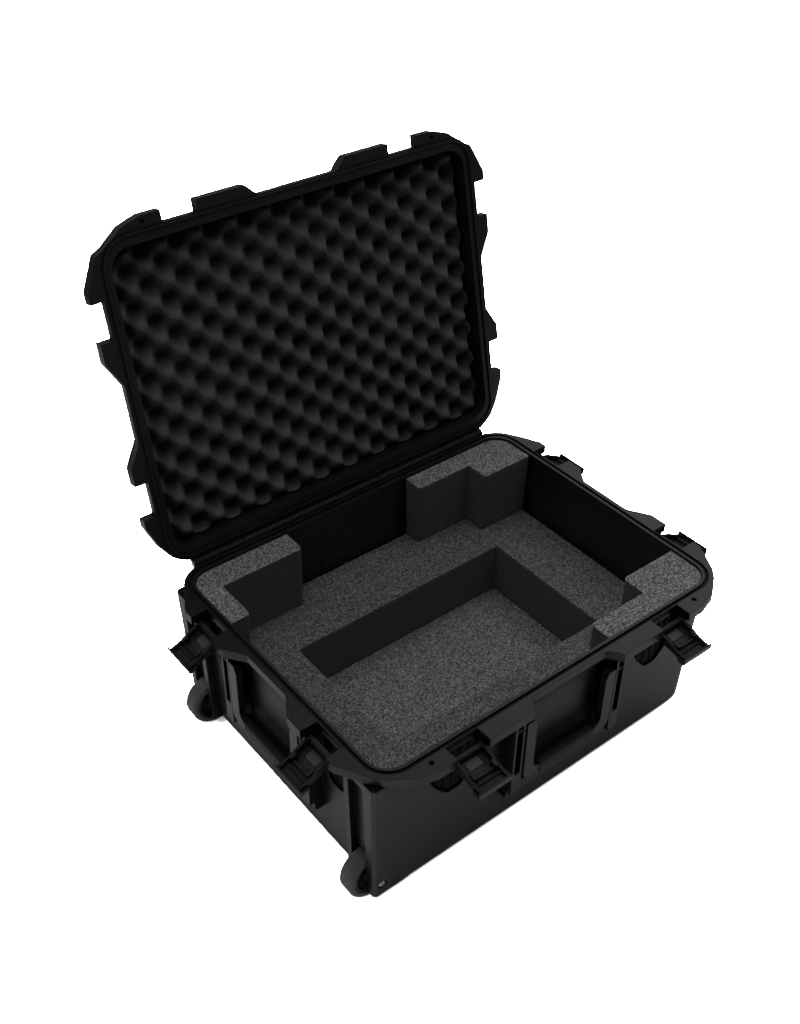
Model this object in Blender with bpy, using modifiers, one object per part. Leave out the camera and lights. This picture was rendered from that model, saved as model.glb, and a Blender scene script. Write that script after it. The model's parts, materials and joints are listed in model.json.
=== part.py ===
# Wheeled hard carrying case for a drone, lid open.
# +Z up. X runs along the long side, the wheels are at the -X end, the hinge is along the
# back (+Y), and the ground is z = 0 under the middle of the base.
# Sizes are in millimetres; meshes are scaled to metres as they are made.
import bpy
import bmesh
from collections import namedtuple
from math import sin, cos, radians, pi
from mathutils import Matrix, Vector

for old in list(bpy.data.objects):
    bpy.data.objects.remove(old, do_unlink=True)

MM = 0.001

# ---------------------------------------------------------------- driving sizes
RIM = 239.0                         # height of the parting plane
FLOOR = 17.0                        # underside of the base body above the ground
TOP = 297.0                         # top of the closed lid
GAP = 0.3                           # clearance between neighbours

# Rounded rectangles: half length, half depth, corner radius.
WALL_IN = (281.0, 213.5, 30.0)      # inside of the base at the rim
WALL_OUT = (286.5, 219.0, 35.0)     # outside of the base at the rim
FLOOR_IN = (272.5, 205.0, 26.0)     # inside of the base at the floor
FLOOR_OUT = (279.5, 212.0, 32.0)    # outside of the base at the floor
CHANNEL = (287.5, 220.5, 37.0)      # centre line of the gasket channel
LID_IN = (278.0, 207.5, 28.0)       # inside of the lid at its opening
LID_OUT = (284.5, 214.0, 34.0)      # outside of the lid at its opening

FLANGE_X, FLANGE_FRONT, FLANGE_BACK = 297.0, 228.0, 227.1   # rim flange, from the middle
TAB_X, TAB_Y = 316.0, 247.0         # outer edge of the tabs that guard the latches
FLANGE_T, TAB_T = 11.5, 13.5        # thickness of the rim flange and of its tabs

HINGE_Y = 233.8
OPEN_ANGLE = 102.0                  # lid angle at rest
HINGE_BORE_R, HINGE_PIN_R = 2.8, 2.45
KNUCKLE = 40.0                      # pitch of neighbouring knuckles
KNUCKLE_R = 6.2
BASE_KNUCKLES = [KNUCKLE * (2 * k - 6) for k in range(7)]
LID_KNUCKLES = [KNUCKLE * (2 * k - 5) for k in range(6)]

LATCH_X = 174.0                     # latch centres along the front
LATCH_YF, LATCH_YB = 126.0, 119.5   # front and back latch centres along the ends
LATCH_HALF = 22.5                   # half width of a latch lever
PIVOT_OUT = 7.0                     # latch pivot outside the side's edge
PIVOT_DOWN = 17.0                   # latch pivot below the rim
HOLLOW_START, HOLLOW_END = -22.0, -99.0   # top and bottom of a latch hollow from the rim
EAR_IN, EAR_OUT = 24.9, 29.6        # faces of the ears beside a lever, from its centre

HANDLE_Z = RIM - 40.0               # handle pivot height
HANDLE_OUT = 14.0                   # handle pivot outside the wall
ARM_IN, ARM_OUT = 60.0, 76.5        # inner and outer face of a handle arm
HANDLE_BORE_R = 3.4

WHEEL_X, WHEEL_Y, WHEEL_Z = -279.5, 182.5, 37.0   # wheel centre; one at each of +-y
WHEEL_R, WHEEL_W = 36.6, 25.0
SLOT_R, SLOT_HALF = 41.0, 14.5      # wheel slot: arch radius and half width

SHELF = RIM - 105.0                 # top of the foam tray
POCKET_FLOOR = RIM - 190.0          # bottom of the pocket
POCKET = (-182.0, 183.0, -109.0, 101.0)   # x0, x1, y0, y1

PADLOCKS = [(-225.0, -231.5), (225.0, -231.5)]    # x, y of the holes in the corner tabs
PADLOCK_R = 3.3
VALVE_X, VALVE_Y, VALVE_Z = -60.0, 212.3, 150.0

TUBE_Y = 92.0                       # trolley tube centre; one at each of +-y
GRIP_X = 293.0                      # trolley grip centre
HOUSING_SCREWS = [(-190.0, -112.0), (-190.0, 112.0), (255.0, -112.0), (255.0, 112.0)]
HOUSING_BORE_R = 2.3

X_AXIS, Y_AXIS, Z_AXIS = 0, 1, 2
UPRIGHT = Matrix.Rotation(radians(90), 4, 'X')    # stands a flat outline up: its z turns to -y
MIRRORED = ((-1, "front"), (1, "back"))           # sign of y and the word for it

# The three sides that carry latches and handles. In a side's own frame x runs along the
# side, y points into the case and z is up.
Side = namedtuple("Side", [
    "turn",          # rotation from the side's frame to the case
    "edge",          # distance out to the rim edge that the latch pivots are set from
    "wall",          # distance out to the wall at the rim
    "sweep",         # how far the sweep above the handle bay stands out of the wall
    "notch",         # distance out to the back of the rim notches
    "hollow_span",   # latch hollow towards and away from the middle of the side
    "hollow_depth",  # latch hollow depth at its top and bottom
    "latch_open",    # lever angle at rest, from closed
])
SIDES = {
    "front": Side(Matrix.Identity(4), FLANGE_FRONT + 1.0, WALL_OUT[1],
                  9.0, 224.2, (-46, 46), (9.5, 3.0), 100.0),
    "left": Side(Matrix.Rotation(radians(-90), 4, 'Z'), FLANGE_X, WALL_OUT[0],
                 10.5, 291.3, (-24, 36), (9.5, 3.0), 110.0),
    "right": Side(Matrix.Rotation(radians(90), 4, 'Z'), FLANGE_X, WALL_OUT[0],
                  10.5, 291.3, (-24, 36), (2.8, 2.8), 110.0),
}
# label, side, centre along the side
LATCHES = [
    ("front_left", "front", -LATCH_X), ("front_right", "front", LATCH_X),
    ("left_front", "left", LATCH_YF), ("left_back", "left", -LATCH_YB),
    ("right_front", "right", -LATCH_YF), ("right_back", "right", LATCH_YB),
]
# Only the deep hollows need a boss inside the case.
BOSS_LATCHES = [item for item in LATCHES if item[1] != "right"]

PARTS = bpy.data.collections.new("wheeled_hard_case")
CUTTERS = bpy.data.collections.new("cutters")
bpy.context.scene.collection.children.link(PARTS)
bpy.context.scene.collection.children.link(CUTTERS)


# ---------------------------------------------------------------- materials
def material(name, colour, roughness, metallic=0.0):
    mat = bpy.data.materials.new(name)
    mat.use_nodes = True
    bsdf = mat.node_tree.nodes["Principled BSDF"]
    bsdf.inputs["Base Color"].default_value = (*colour, 1.0)
    bsdf.inputs["Roughness"].default_value = roughness
    bsdf.inputs["Metallic"].default_value = metallic
    return mat


SHELL = material("shell_polypropylene", colour=(0.012, 0.012, 0.013), roughness=0.45)
NYLON = material("latch_nylon", colour=(0.016, 0.016, 0.017), roughness=0.38)
BUTTON = material("latch_button_nylon", colour=(0.035, 0.035, 0.037), roughness=0.4)
FOAM = material("polyethylene_foam", colour=(0.045, 0.045, 0.047), roughness=0.95)
LID_FOAM = material("convoluted_foam", colour=(0.02, 0.02, 0.021), roughness=0.98)
RUBBER = material("gasket_rubber", colour=(0.008, 0.008, 0.008), roughness=0.7)
SOFT_GRIP = material("soft_grip", colour=(0.014, 0.014, 0.014), roughness=0.75)
TYRE = material("wheel_tyre", colour=(0.02, 0.02, 0.021), roughness=0.6)
STEEL = material("stainless_steel", colour=(0.6, 0.6, 0.61), roughness=0.28, metallic=1.0)
ALUMINIUM = material("black_anodised_aluminium", colour=(0.05, 0.05, 0.055),
                     roughness=0.35, metallic=0.9)


# ---------------------------------------------------------------- mesh helpers
def link(name, mesh, mat=None):
    """With a material the mesh becomes a visible part, without one a hidden cutter."""
    obj = bpy.data.objects.new(name, mesh)
    if mat is not None:
        PARTS.objects.link(obj)
        mesh.materials.append(mat)
    else:
        CUTTERS.objects.link(obj)
        obj.hide_render = True
        obj.display_type = 'WIRE'
    return obj


def finish(bm, name, mat=None, matrix=None):
    """Turns a bmesh drawn in millimetres into a linked object."""
    if matrix is not None:
        bm.transform(matrix)
    bmesh.ops.recalc_face_normals(bm, faces=bm.faces[:])
    mesh = bpy.data.meshes.new(name)
    bm.to_mesh(mesh)
    bm.free()
    mesh.transform(Matrix.Scale(MM, 4))
    return link(name, mesh, mat)


def rounded(half_x, half_y, radius, steps=6, centre_x=0.0, half_back=None):
    """Points of a round-cornered rectangle, anticlockwise; half_back is the half depth at +y."""
    half_back = half_y if half_back is None else half_back
    points = []
    for sign_x, sign_y, start in ((1, -1, -90), (1, 1, 0), (-1, 1, 90), (-1, -1, 180)):
        half = half_back if sign_y > 0 else half_y
        for i in range(steps + 1):
            angle = radians(start + 90.0 * i / steps)
            points.append((centre_x + sign_x * (half_x - radius) + radius * cos(angle),
                           sign_y * (half - radius) + radius * sin(angle)))
    return points


def mirrored(profile):
    """The profile on the -x side and on the +x side."""
    return [[(sign * x, other) for x, other in profile] for sign in (-1, 1)]


def both_sides(x0, x1, y0, y1, z0, z1):
    """A box and its mirror image across y = 0."""
    return [(x0, x1, y0, y1, z0, z1), (x0, x1, -y1, -y0, z0, z1)]


def extruded(profile, axis, start, end):
    """Two rings: the profile of the other two coordinates at each end of the given axis."""
    return [[(*point[:axis], level, *point[axis:]) for point in profile]
            for level in (start, end)]


def band(bm, low, high):
    """Quads between two matching closed rings of vertices."""
    for i in range(len(low)):
        j = (i + 1) % len(low)
        bm.faces.new((low[i], low[j], high[j], high[i]))


def add_prism(bm, rings):
    """Adds a solid between two rings of points and returns its vertices."""
    low, high = [[bm.verts.new(point) for point in ring] for ring in rings]
    band(bm, low, high)
    bm.faces.new(low)
    bm.faces.new(high)
    return low + high


def prisms(name, solids, matrix=None):
    """One cutter mesh of separate prisms, each a pair of rings."""
    bm = bmesh.new()
    for rings in solids:
        add_prism(bm, rings)
    return finish(bm, name, matrix=matrix)


def loft(name, sections, mat=None):
    """A solid through sections [(points, z), ...], all with the same number of points."""
    bm = bmesh.new()
    rings = [[bm.verts.new((x, y, z)) for x, y in points] for points, z in sections]
    for low, high in zip(rings, rings[1:]):
        band(bm, low, high)
    bm.faces.new(list(reversed(rings[0])))
    bm.faces.new(rings[-1])
    return finish(bm, name, mat)


def outline(name, points, low, high, mat=None, matrix=None):
    """A flat outline filled as a 2D curve, extruded and turned into a mesh."""
    curve = bpy.data.curves.new(name, 'CURVE')
    curve.dimensions = '2D'
    curve.fill_mode = 'BOTH'
    curve.extrude = (high - low) / 2 * MM
    spline = curve.splines.new('POLY')
    spline.points.add(len(points) - 1)
    for point, (x, y) in zip(spline.points, points):
        point.co = (x * MM, y * MM, 0.0, 1.0)
    spline.use_cyclic_u = True
    temp = bpy.data.objects.new(name + "_curve", curve)
    bpy.context.scene.collection.objects.link(temp)
    bpy.context.view_layer.update()
    graph = bpy.context.evaluated_depsgraph_get()
    mesh = bpy.data.meshes.new_from_object(temp.evaluated_get(graph))
    bpy.data.objects.remove(temp, do_unlink=True)
    bpy.data.curves.remove(curve)
    bm = bmesh.new()
    bm.from_mesh(mesh)
    bpy.data.meshes.remove(mesh)
    bm.transform(Matrix.Scale(1 / MM, 4))
    bm.transform(Matrix.Translation((0, 0, (low + high) / 2)))
    # Weld the caps to the sides and drop the triangulation of the caps.
    bmesh.ops.remove_doubles(bm, verts=bm.verts[:], dist=0.01)
    bmesh.ops.dissolve_limit(bm, angle_limit=radians(1), verts=bm.verts[:], edges=bm.edges[:])
    return finish(bm, name, mat, matrix)


def boxes(name, items, mat=None):
    """One mesh of separate boxes (x0, x1, y0, y1, z0, z1)."""
    bm = bmesh.new()
    for x0, x1, y0, y1, z0, z1 in items:
        made = bmesh.ops.create_cube(bm, size=1.0)["verts"]
        bmesh.ops.scale(bm, vec=(x1 - x0, y1 - y0, z1 - z0), verts=made)
        centre = ((x0 + x1) / 2, (y0 + y1) / 2, (z0 + z1) / 2)
        bmesh.ops.translate(bm, vec=centre, verts=made)
    return finish(bm, name, mat)


def rods(name, items, sides=12, mat=None):
    """One mesh of separate cylinders (start, end, radius)."""
    bm = bmesh.new()
    for start, end, radius in items:
        a, b = Vector(start), Vector(end)
        turn = (b - a).to_track_quat('Z', 'Y').to_matrix().to_4x4()
        spin = Matrix.Rotation(pi / sides, 4, 'Z')
        bmesh.ops.create_cone(bm, cap_ends=True, segments=sides,
                              radius1=radius, radius2=radius, depth=(b - a).length,
                              matrix=Matrix.Translation((a + b) / 2) @ turn @ spin)
    return finish(bm, name, mat)


def steel_pin(name, start, end, radius, sides):
    """A smooth-shaded steel cylinder."""
    pin = rods(name, [(start, end, radius)], sides, STEEL)
    pin.data.shade_smooth()
    pin.data.set_sharp_from_angle(angle=radians(32))
    return pin


def ring(name, line, width, low, high, mat=None):
    """A rectangular-section ring along a rounded rectangle."""
    half_x, half_y, radius = line
    bm = bmesh.new()
    loops = []
    for out, z in ((-width / 2, low), (width / 2, low), (width / 2, high), (-width / 2, high)):
        points = rounded(half_x + out, half_y + out, radius + out)
        loops.append([bm.verts.new((x, y, z)) for x, y in points])
    for k in range(4):
        band(bm, loops[k], loops[(k + 1) % 4])
    return finish(bm, name, mat)


def lathe(name, profile, sides, mat, matrix):
    """A profile of (radius, height) points turned about Z; closed unless it starts on the axis."""
    bm = bmesh.new()
    verts = [bm.verts.new((r * MM, 0, z * MM)) for r, z in profile]
    for a, b in zip(verts, verts[1:]):
        bm.edges.new((a, b))
    if profile[0][0] != 0:
        bm.edges.new((verts[-1], verts[0]))
    mesh = bpy.data.meshes.new(name)
    bm.to_mesh(mesh)
    bm.free()
    obj = link(name, mesh, mat)
    screw = obj.modifiers.new("turn", 'SCREW')
    screw.steps = screw.render_steps = sides
    screw.axis = 'Z'
    screw.use_merge_vertices = True
    screw.merge_threshold = 0.00001
    screw.use_smooth_shade = False
    obj.matrix_world = matrix


def boolean(obj, other, operation='DIFFERENCE'):
    mod = obj.modifiers.new(other.name, 'BOOLEAN')
    mod.operation = operation
    mod.solver = 'EXACT'
    mod.object = other


def pivot(name, location, rotation):
    """An empty that moving parts hang from."""
    empty = bpy.data.objects.new(name, None)
    empty.empty_display_size = 0.02
    PARTS.objects.link(empty)
    empty.matrix_local = Matrix.Translation(Vector(location) * MM) @ rotation
    return empty


# ---------------------------------------------------------------- shapes shared by the shells
def wall_outline(z, low, high, grow=0.0):
    """Outline of a drafted wall at height z, between its floor (low) and rim (high) sizes."""
    t = (z - FLOOR) / (RIM - FLOOR)
    half_x, half_y, radius = (a + (b - a) * t for a, b in zip(low, high))
    return rounded(half_x + grow, half_y + grow, radius + grow)


def guard_tabs(name, low, high, front, side):
    """The tabs round the rim in one mesh; front and side are their outer edges in -y and x."""
    root_x, root_y = 270.0, 205.0   # inner ends, buried in the shell
    back = FLANGE_BACK - 0.1
    # (x, y) outlines on the +x half
    shapes = [
        # front corner
        [(199, -root_y), (199, -front), (226, -front), (254, -front + 8),
         (280, -front + 27), (293, -206), (side, -165), (side, -151),
         (root_x, -151), (root_x, -root_y)],
        # front, between the handle and the latch
        [(60, -root_y), (60, -222), (78, -front), (149, -front), (149, -root_y)],
        # end, in front of the handle and behind it
        [(root_x, -38), (294, -38), (side, -74), (side, -101), (root_x, -101)],
        [(root_x, 38), (294, 38), (side, 70), (side, 94.5), (root_x, 94.5)],
        # back corner
        [(root_x, 144.5), (side, 144.5), (side, 157), (299, 192), (286, 212),
         (270, 223), (262, back), (240, back), (240, root_y), (root_x, root_y)],
    ]
    halves = zip(*(mirrored(shape) for shape in shapes))
    return prisms(name, [extruded(shape, Z_AXIS, low, high)
                         for half in halves for shape in half])


def knuckles(name, centres, up):
    """Knuckles on the hinge line, each with a web to its shell: up is 1 for the lid, -1 the base."""
    web_y = 221.0
    shape = [(web_y, RIM + up * 0.6), (HINGE_Y - 6.17, RIM + up * 0.6)]
    shape += [(HINGE_Y + KNUCKLE_R * cos(radians(t)), RIM - up * KNUCKLE_R * sin(radians(t)))
              for t in range(150, -91, -30)]
    shape += [(web_y, RIM + up * 6.0)]
    half = KNUCKLE / 2
    return prisms(name, [extruded(shape, X_AXIS, centre - half + GAP, centre + half - GAP)
                         for centre in centres])


def padlock_bores(name, low, high):
    return rods(name, [((x, y, low), (x, y, high), PADLOCK_R) for x, y in PADLOCKS])


# ---------------------------------------------------------------- additions to the base
def wheel_housing(word, sign):
    """Corner block at the -X end that holds a wheel."""
    inner_x, inner_y, chamfer = -238, 159, 4
    sections = []
    for z, out_x, out_y in ((FLOOR - 0.4, 291.6, 211.2), (RIM - 15.0, 298.0, 217.6)):
        points = [(inner_x, sign * inner_y), (-out_x, sign * inner_y),
                  (-out_x, sign * (out_y - chamfer)), (-out_x + chamfer, sign * out_y),
                  (inner_x, sign * out_y)]
        sections.append((points, z))
    return loft("wheel_housing_" + word, sections)


def handle_ribs(name, side):
    """Ribs in pairs beside the handle, each pair joined by a foot below."""
    # (x, z from the rim)
    profile = [(79, -11), (82.5, -11), (82.5, -116), (92, -116), (92, -11), (95.5, -11),
               (95.5, -150), (79, -150)]
    profile = [(x, RIM + z) for x, z in profile]
    return prisms(name, [extruded(half, Y_AXIS, -(side.wall - 12), -(side.wall + 17.5))
                         for half in mirrored(profile)], side.turn)


def across(name, side, profile, half_length):
    """A prism along the side; the profile is (distance out, z from the rim)."""
    section = [(-out, RIM + z) for out, z in profile]
    return prisms(name, [extruded(section, X_AXIS, -half_length, half_length)], side.turn)


def handle_ledge(name, side):
    """Ledge between the feet, with a hollow upper face that dishes the handle bay."""
    wall = side.wall
    profile = [(wall - 12, -165), (wall + 6.0, -165), (wall + 9.5, -162),
               (wall + 9.5, -147), (wall + 6.5, -144.5)]
    profile += [(wall + 6.5 - 17 * sin(radians(t)), -127.5 - 17 * cos(radians(t)))
                for t in (15, 35, 55, 75)]
    profile += [(wall - 12, -123)]
    return across(name, side, profile, 95.3)


def handle_sweep(name, side):
    """Under the rim the back of the handle bay sweeps in from the flange's edge."""
    wall, reach = side.wall, side.sweep
    profile = [(wall - 12, -9), (wall + reach - 0.1, -9), (wall + reach - 0.1, -12)]
    profile += [(wall - 1.6 + (reach + 1.5) * (1 - sin(radians(t))),
                 -12 - 44 * (1 - cos(radians(t)))) for t in (18, 36, 54, 72, 88)]
    profile += [(wall - 12, -56)]
    return across(name, side, profile, 58.5)


def handle_fillets(name, side):
    """Hollow upright fillets between the wall and the inner ribs."""
    wall = side.wall
    profile = [(80, wall - 12), (80, wall + 7.0), (78.9, wall + 7.0)]
    profile += [(64.0 + 15 * sin(radians(t)), wall + 12.0 - 15 * cos(radians(t)))
                for t in (70, 50, 30, 10)]
    profile += [(62.0, wall - 12)]
    profile = [(x, -out) for x, out in profile]
    return prisms(name, [extruded(half, Z_AXIS, RIM - 140, RIM - 13)
                         for half in mirrored(profile)], side.turn)


# ---------------------------------------------------------------- cuts and fittings of the base
def latch_hollows(name, latches, grow=0.0, inward=0.0):
    """Shield-shaped hollows behind and below the latches, shallowest at the bottom.

    grow widens the outline; inward takes each one in past the hollow's own floor.
    """
    draft = (WALL_OUT[0] - FLOOR_OUT[0]) / (RIM - FLOOR)
    outside = 8.0
    bm = bmesh.new()
    for _, side_name, centre in latches:
        side = SIDES[side_name]
        away = 1 if centre > 0 else -1
        near, far = side.hollow_span
        top, bottom = side.hollow_depth
        # (x away from the middle of the side, z from the rim)
        points = [(near - grow, HOLLOW_START + grow), (near - grow, -46),
                  (near * 0.66 - grow, -76), (-15 - grow, -94 - grow),
                  (-8, HOLLOW_END - grow), (8, HOLLOW_END - grow),
                  (15 + grow, -94 - grow), (far * 0.66 + grow, -76),
                  (far + grow, -46), (far + grow, HOLLOW_START + grow)]
        inner, outer = [], []
        for x, z in points:
            t = (z - HOLLOW_START) / (HOLLOW_END - HOLLOW_START)
            depth = top + (bottom - top) * t + inward
            for row, out in ((inner, -depth), (outer, outside)):
                row.append((centre + away * x, -(side.wall + out + draft * z), RIM + z))
        bmesh.ops.transform(bm, matrix=side.turn, verts=add_prism(bm, (inner, outer)))
    return finish(bm, name)


def side_box(side, x0, x1, near, far, low, high):
    """A box given in a side's frame, as a box in the case's frame."""
    a = side.turn @ Vector((x0, near, low))
    b = side.turn @ Vector((x1, far, high))
    return (min(a.x, b.x), max(a.x, b.x), min(a.y, b.y), max(a.y, b.y), low, high)


def rim_notches():
    """A notch in the rim behind each latch."""
    items = []
    for _, side_name, centre in LATCHES:
        side = SIDES[side_name]
        items.append(side_box(side, centre - EAR_IN, centre + EAR_IN,
                              -(side.edge + 4.0), -side.notch, RIM - 14.5, RIM + 3.0))
    return boxes("rim_notches", items)


def latch_ears():
    """An ear either side of each lever, to carry its pin."""
    items = []
    for _, side_name, centre in LATCHES:
        side = SIDES[side_name]
        for x0, x1 in ((-EAR_OUT, -EAR_IN), (EAR_IN, EAR_OUT)):
            items.append(side_box(side, centre + x0, centre + x1,
                                  -(side.edge + PIVOT_OUT + 5.5), -(side.wall - 3.0),
                                  RIM - 23.5, RIM - 12.0))
    return boxes("latch_ears", items)


def handle_pin_bores():
    items = []
    for side in SIDES.values():
        y = -(side.wall + HANDLE_OUT)
        for sign in (-1, 1):
            items.append((side.turn @ Vector((sign * 74, y, HANDLE_Z)),
                          side.turn @ Vector((sign * 88, y, HANDLE_Z)), HANDLE_BORE_R))
    return rods("handle_pin_bores", items, 10)


def latch_pin_bores():
    items = []
    for _, side_name, centre in LATCHES:
        side = SIDES[side_name]
        y, z = -(side.edge + PIVOT_OUT), RIM - PIVOT_DOWN
        items.append((side.turn @ Vector((centre - 30, y, z)),
                      side.turn @ Vector((centre + 30, y, z)), 2.3))
    return rods("latch_pin_bores", items, 8)


def wheel_slots():
    """Slots that run shallow up the corner blocks, deep and arched round the wheels."""
    # (x, z)
    profile = [(-330, -10), (WHEEL_X + SLOT_R, -10), (WHEEL_X + SLOT_R, WHEEL_Z)]
    profile += [(WHEEL_X + SLOT_R * cos(radians(t)), WHEEL_Z + SLOT_R * sin(radians(t)))
                for t in (30, 60)]
    profile += [(-285, WHEEL_Z + SLOT_R), (-287.5, RIM - 26), (-330, RIM - 26)]
    return prisms("wheel_slots", [
        extruded(profile, Y_AXIS, sign * (WHEEL_Y - SLOT_HALF), sign * (WHEEL_Y + SLOT_HALF))
        for sign in (-1, 1)])


def axle_holes(name, start_y, radius, sides):
    return rods(name, [((WHEEL_X, sign * start_y, WHEEL_Z), (WHEEL_X, sign * 230, WHEEL_Z),
                        radius) for sign in (-1, 1)], sides)


def base_cavity():
    """Inside of the base, less the wheel housings and latch bosses that stand inside it."""
    cavity = loft("base_cavity", [
        (wall_outline(FLOOR + 5, FLOOR_IN, WALL_IN, -4.0), FLOOR + 5),
        (wall_outline(FLOOR + 9, FLOOR_IN, WALL_IN), FLOOR + 9),
        (wall_outline(RIM + 5, FLOOR_IN, WALL_IN), RIM + 5)])
    boolean(cavity, boxes("cavity_wheel_blocks", both_sides(-320, -237.5, 156, 240, 0, 84)))
    boolean(cavity, latch_hollows("cavity_latch_bosses", BOSS_LATCHES, 3.5, 3.2))
    return cavity


def build_base():
    base = loft("base_shell", [
        (wall_outline(FLOOR, FLOOR_OUT, WALL_OUT, -2.6), FLOOR),
        (wall_outline(FLOOR, FLOOR_OUT, WALL_OUT, -0.8), FLOOR + 0.9),
        (wall_outline(FLOOR + 3, FLOOR_OUT, WALL_OUT), FLOOR + 3),
        (wall_outline(RIM - 1, FLOOR_OUT, WALL_OUT), RIM - 1)], SHELL)

    rim_top = RIM - GAP / 2
    flange = rounded(FLANGE_X, FLANGE_FRONT, 44.0, half_back=FLANGE_BACK)
    boolean(base, outline("base_flange", flange, RIM - FLANGE_T, rim_top), 'UNION')
    boolean(base, guard_tabs("base_tabs", RIM - TAB_T, rim_top, TAB_Y, TAB_X), 'UNION')
    for sign, word in MIRRORED:
        boolean(base, wheel_housing(word, sign), 'UNION')
    for word, side in SIDES.items():
        boolean(base, handle_ribs("ribs_" + word, side), 'UNION')
        boolean(base, handle_ledge("ledge_" + word, side), 'UNION')
        boolean(base, handle_sweep("sweep_" + word, side), 'UNION')
        boolean(base, handle_fillets("fillets_" + word, side), 'UNION')

    # Skid rails under the floor, guards beside the trolley grip, ribs on the back wall.
    boolean(base, boxes("skids", both_sides(-205, 262, 140, 160, 0.0, 20)), 'UNION')
    boolean(base, boxes("grip_guards", both_sides(262, 304, 121, 133, 4, 62)), 'UNION')
    boolean(base, boxes("back_ribs", [(x - 3, x + 3, 200, 226, 40, RIM - 6)
                                      for x in (-200, -184, 184, 200)]), 'UNION')
    boolean(base, knuckles("base_knuckles", BASE_KNUCKLES, -1), 'UNION')

    boolean(base, base_cavity())
    boolean(base, ring("channel_cut", CHANNEL, 5.0, RIM - 7.0, RIM + 2.0))
    boolean(base, handle_pin_bores())
    boolean(base, latch_hollows("latch_hollows", LATCHES))
    boolean(base, rim_notches())
    boolean(base, latch_ears(), 'UNION')
    boolean(base, latch_pin_bores())
    boolean(base, padlock_bores("base_padlock_bores", RIM - 40, RIM + 10))
    boolean(base, wheel_slots())
    boolean(base, axle_holes("axle_bores", 160.5, 4.5, 12))
    boolean(base, axle_holes("axle_counterbores", 205.5, 6.6, 14))
    boolean(base, rods("valve_bore", [((VALVE_X, 190, VALVE_Z), (VALVE_X, 240, VALVE_Z), 6.3)],
                       14))
    boolean(base, rods("housing_screw_bores", [((x, y, 10), (x, y, 21.4), HOUSING_BORE_R)
                                               for x, y in HOUSING_SCREWS], 8))
    return base


# ---------------------------------------------------------------- foam in the base
def foam_limit():
    """The inside of the base, a little smaller, to trim the foam to the drafted walls."""
    limit = loft("foam_limit", [
        (wall_outline(FLOOR + 5.4, FLOOR_IN, WALL_IN, -4.4), FLOOR + 5.4),
        (wall_outline(FLOOR + 9.4, FLOOR_IN, WALL_IN, -0.6), FLOOR + 9.4),
        (wall_outline(RIM, FLOOR_IN, WALL_IN, -0.6), RIM)])
    boolean(limit, latch_hollows("foam_boss_clearance", BOSS_LATCHES, 4.2, 3.9))
    return limit


# (x, y) outlines of the blocks that stand on the tray
FOAM_BLOCKS = {
    "left_back": [(-300, 105), (-250, 105), (-250, 173), (-121, 173), (-121, 240), (-300, 240)],
    "back_right": [(93, 240), (93, 180), (190, 180), (190, 143), (300, 143), (300, 240)],
    "front_right": [(85, -240), (300, -240), (300, -143), (184, -143), (184, -179), (85, -179)],
}


def build_base_foam():
    limit = foam_limit()
    wheel_notches = boxes("foam_wheel_notches", both_sides(-330, -236.5, 155, 240, 0, 85))

    def slab(name, low, high):
        obj = boxes(name, [(-300, 300, -240, 240, low, high)], FOAM)
        boolean(obj, limit, 'INTERSECT')
        boolean(obj, wheel_notches)
        return obj

    slab("foam_floor", 10, POCKET_FLOOR - GAP)
    tray = slab("foam_tray", POCKET_FLOOR, SHELF - GAP)
    boolean(tray, boxes("pocket_cut", [(*POCKET, 0, 300)]))
    for word, points in FOAM_BLOCKS.items():
        block = outline("foam_block_" + word, points, SHELF, RIM - 3.0, FOAM)
        boolean(block, limit, 'INTERSECT')


# ---------------------------------------------------------------- lid
def lid_loft(name, line, stations, mat=None):
    """A loft of rounded rectangles; stations are (inset, reduction of corner radius, z)."""
    half_x, half_y, radius = line
    return loft(name, [(rounded(half_x - inset, half_y - inset, radius - less), z)
                       for inset, less, z in stations], mat)


def build_lid():
    """The lid and its foam, drawn closed and turned about the hinge."""
    hinge = pivot("lid_hinge_axis", (0, HINGE_Y, RIM),
                  Matrix.Rotation(radians(-OPEN_ANGLE), 4, 'X'))

    def hang(obj):
        """Puts the origin of a mesh drawn closed on the hinge, and hangs it there."""
        obj.data.transform(Matrix.Translation((0, -HINGE_Y * MM, -RIM * MM)))
        obj.parent = hinge

    lid = lid_loft("lid_shell", LID_OUT, [
        (0.0, 0, RIM + 1.0), (5.0, 0, TOP - 23.0), (8.0, 0, TOP - 13.0),
        (14.0, 0, TOP - 5.5), (23.0, 0, TOP - 2.5)], SHELL)
    hang(lid)

    underside = RIM + GAP / 2
    flange = rounded(295.2, 223.4, 43.0, half_back=FLANGE_BACK)
    pads = both_sides(-225, 225, 95, 165, TOP - 6, TOP)
    pads += [(-225, -190, -80, 80, TOP - 6, TOP), (190, 225, -80, 80, TOP - 6, TOP)]
    additions = [
        outline("lid_flange", flange, underside, RIM + FLANGE_T),
        guard_tabs("lid_tabs", underside, RIM + TAB_T + 2.0, 239.0, 313.0),
        knuckles("lid_knuckles", LID_KNUCKLES, 1),
        # The tongue reaches down into the gasket channel.
        ring("lid_tongue", CHANNEL, 2.6, RIM - 2.4, RIM + 4.0),
        # Raised pads on the outside, round a plain field in the middle.
        boxes("lid_pads", pads),
    ]
    cuts = [
        lid_loft("lid_cavity", LID_IN, [
            (0.0, 0, RIM - 5.0), (5.0, 1, TOP - 14.0), (12.0, 3, TOP - 6.5)]),
        padlock_bores("lid_padlock_bores", RIM - 10, RIM + 40),
    ]
    for tools, operation in ((additions, 'UNION'), (cuts, 'DIFFERENCE')):
        for tool in tools:
            hang(tool)
            boolean(lid, tool, operation)

    # Convoluted foam, as a plain slab as high as its peaks.
    hang(lid_loft("lid_foam", LID_IN, [
        (4.0, 2, RIM + 9.0), (5.8, 2, TOP - 14.5), (12.8, 4, TOP - 7.0)], LID_FOAM))
    return lid


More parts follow.
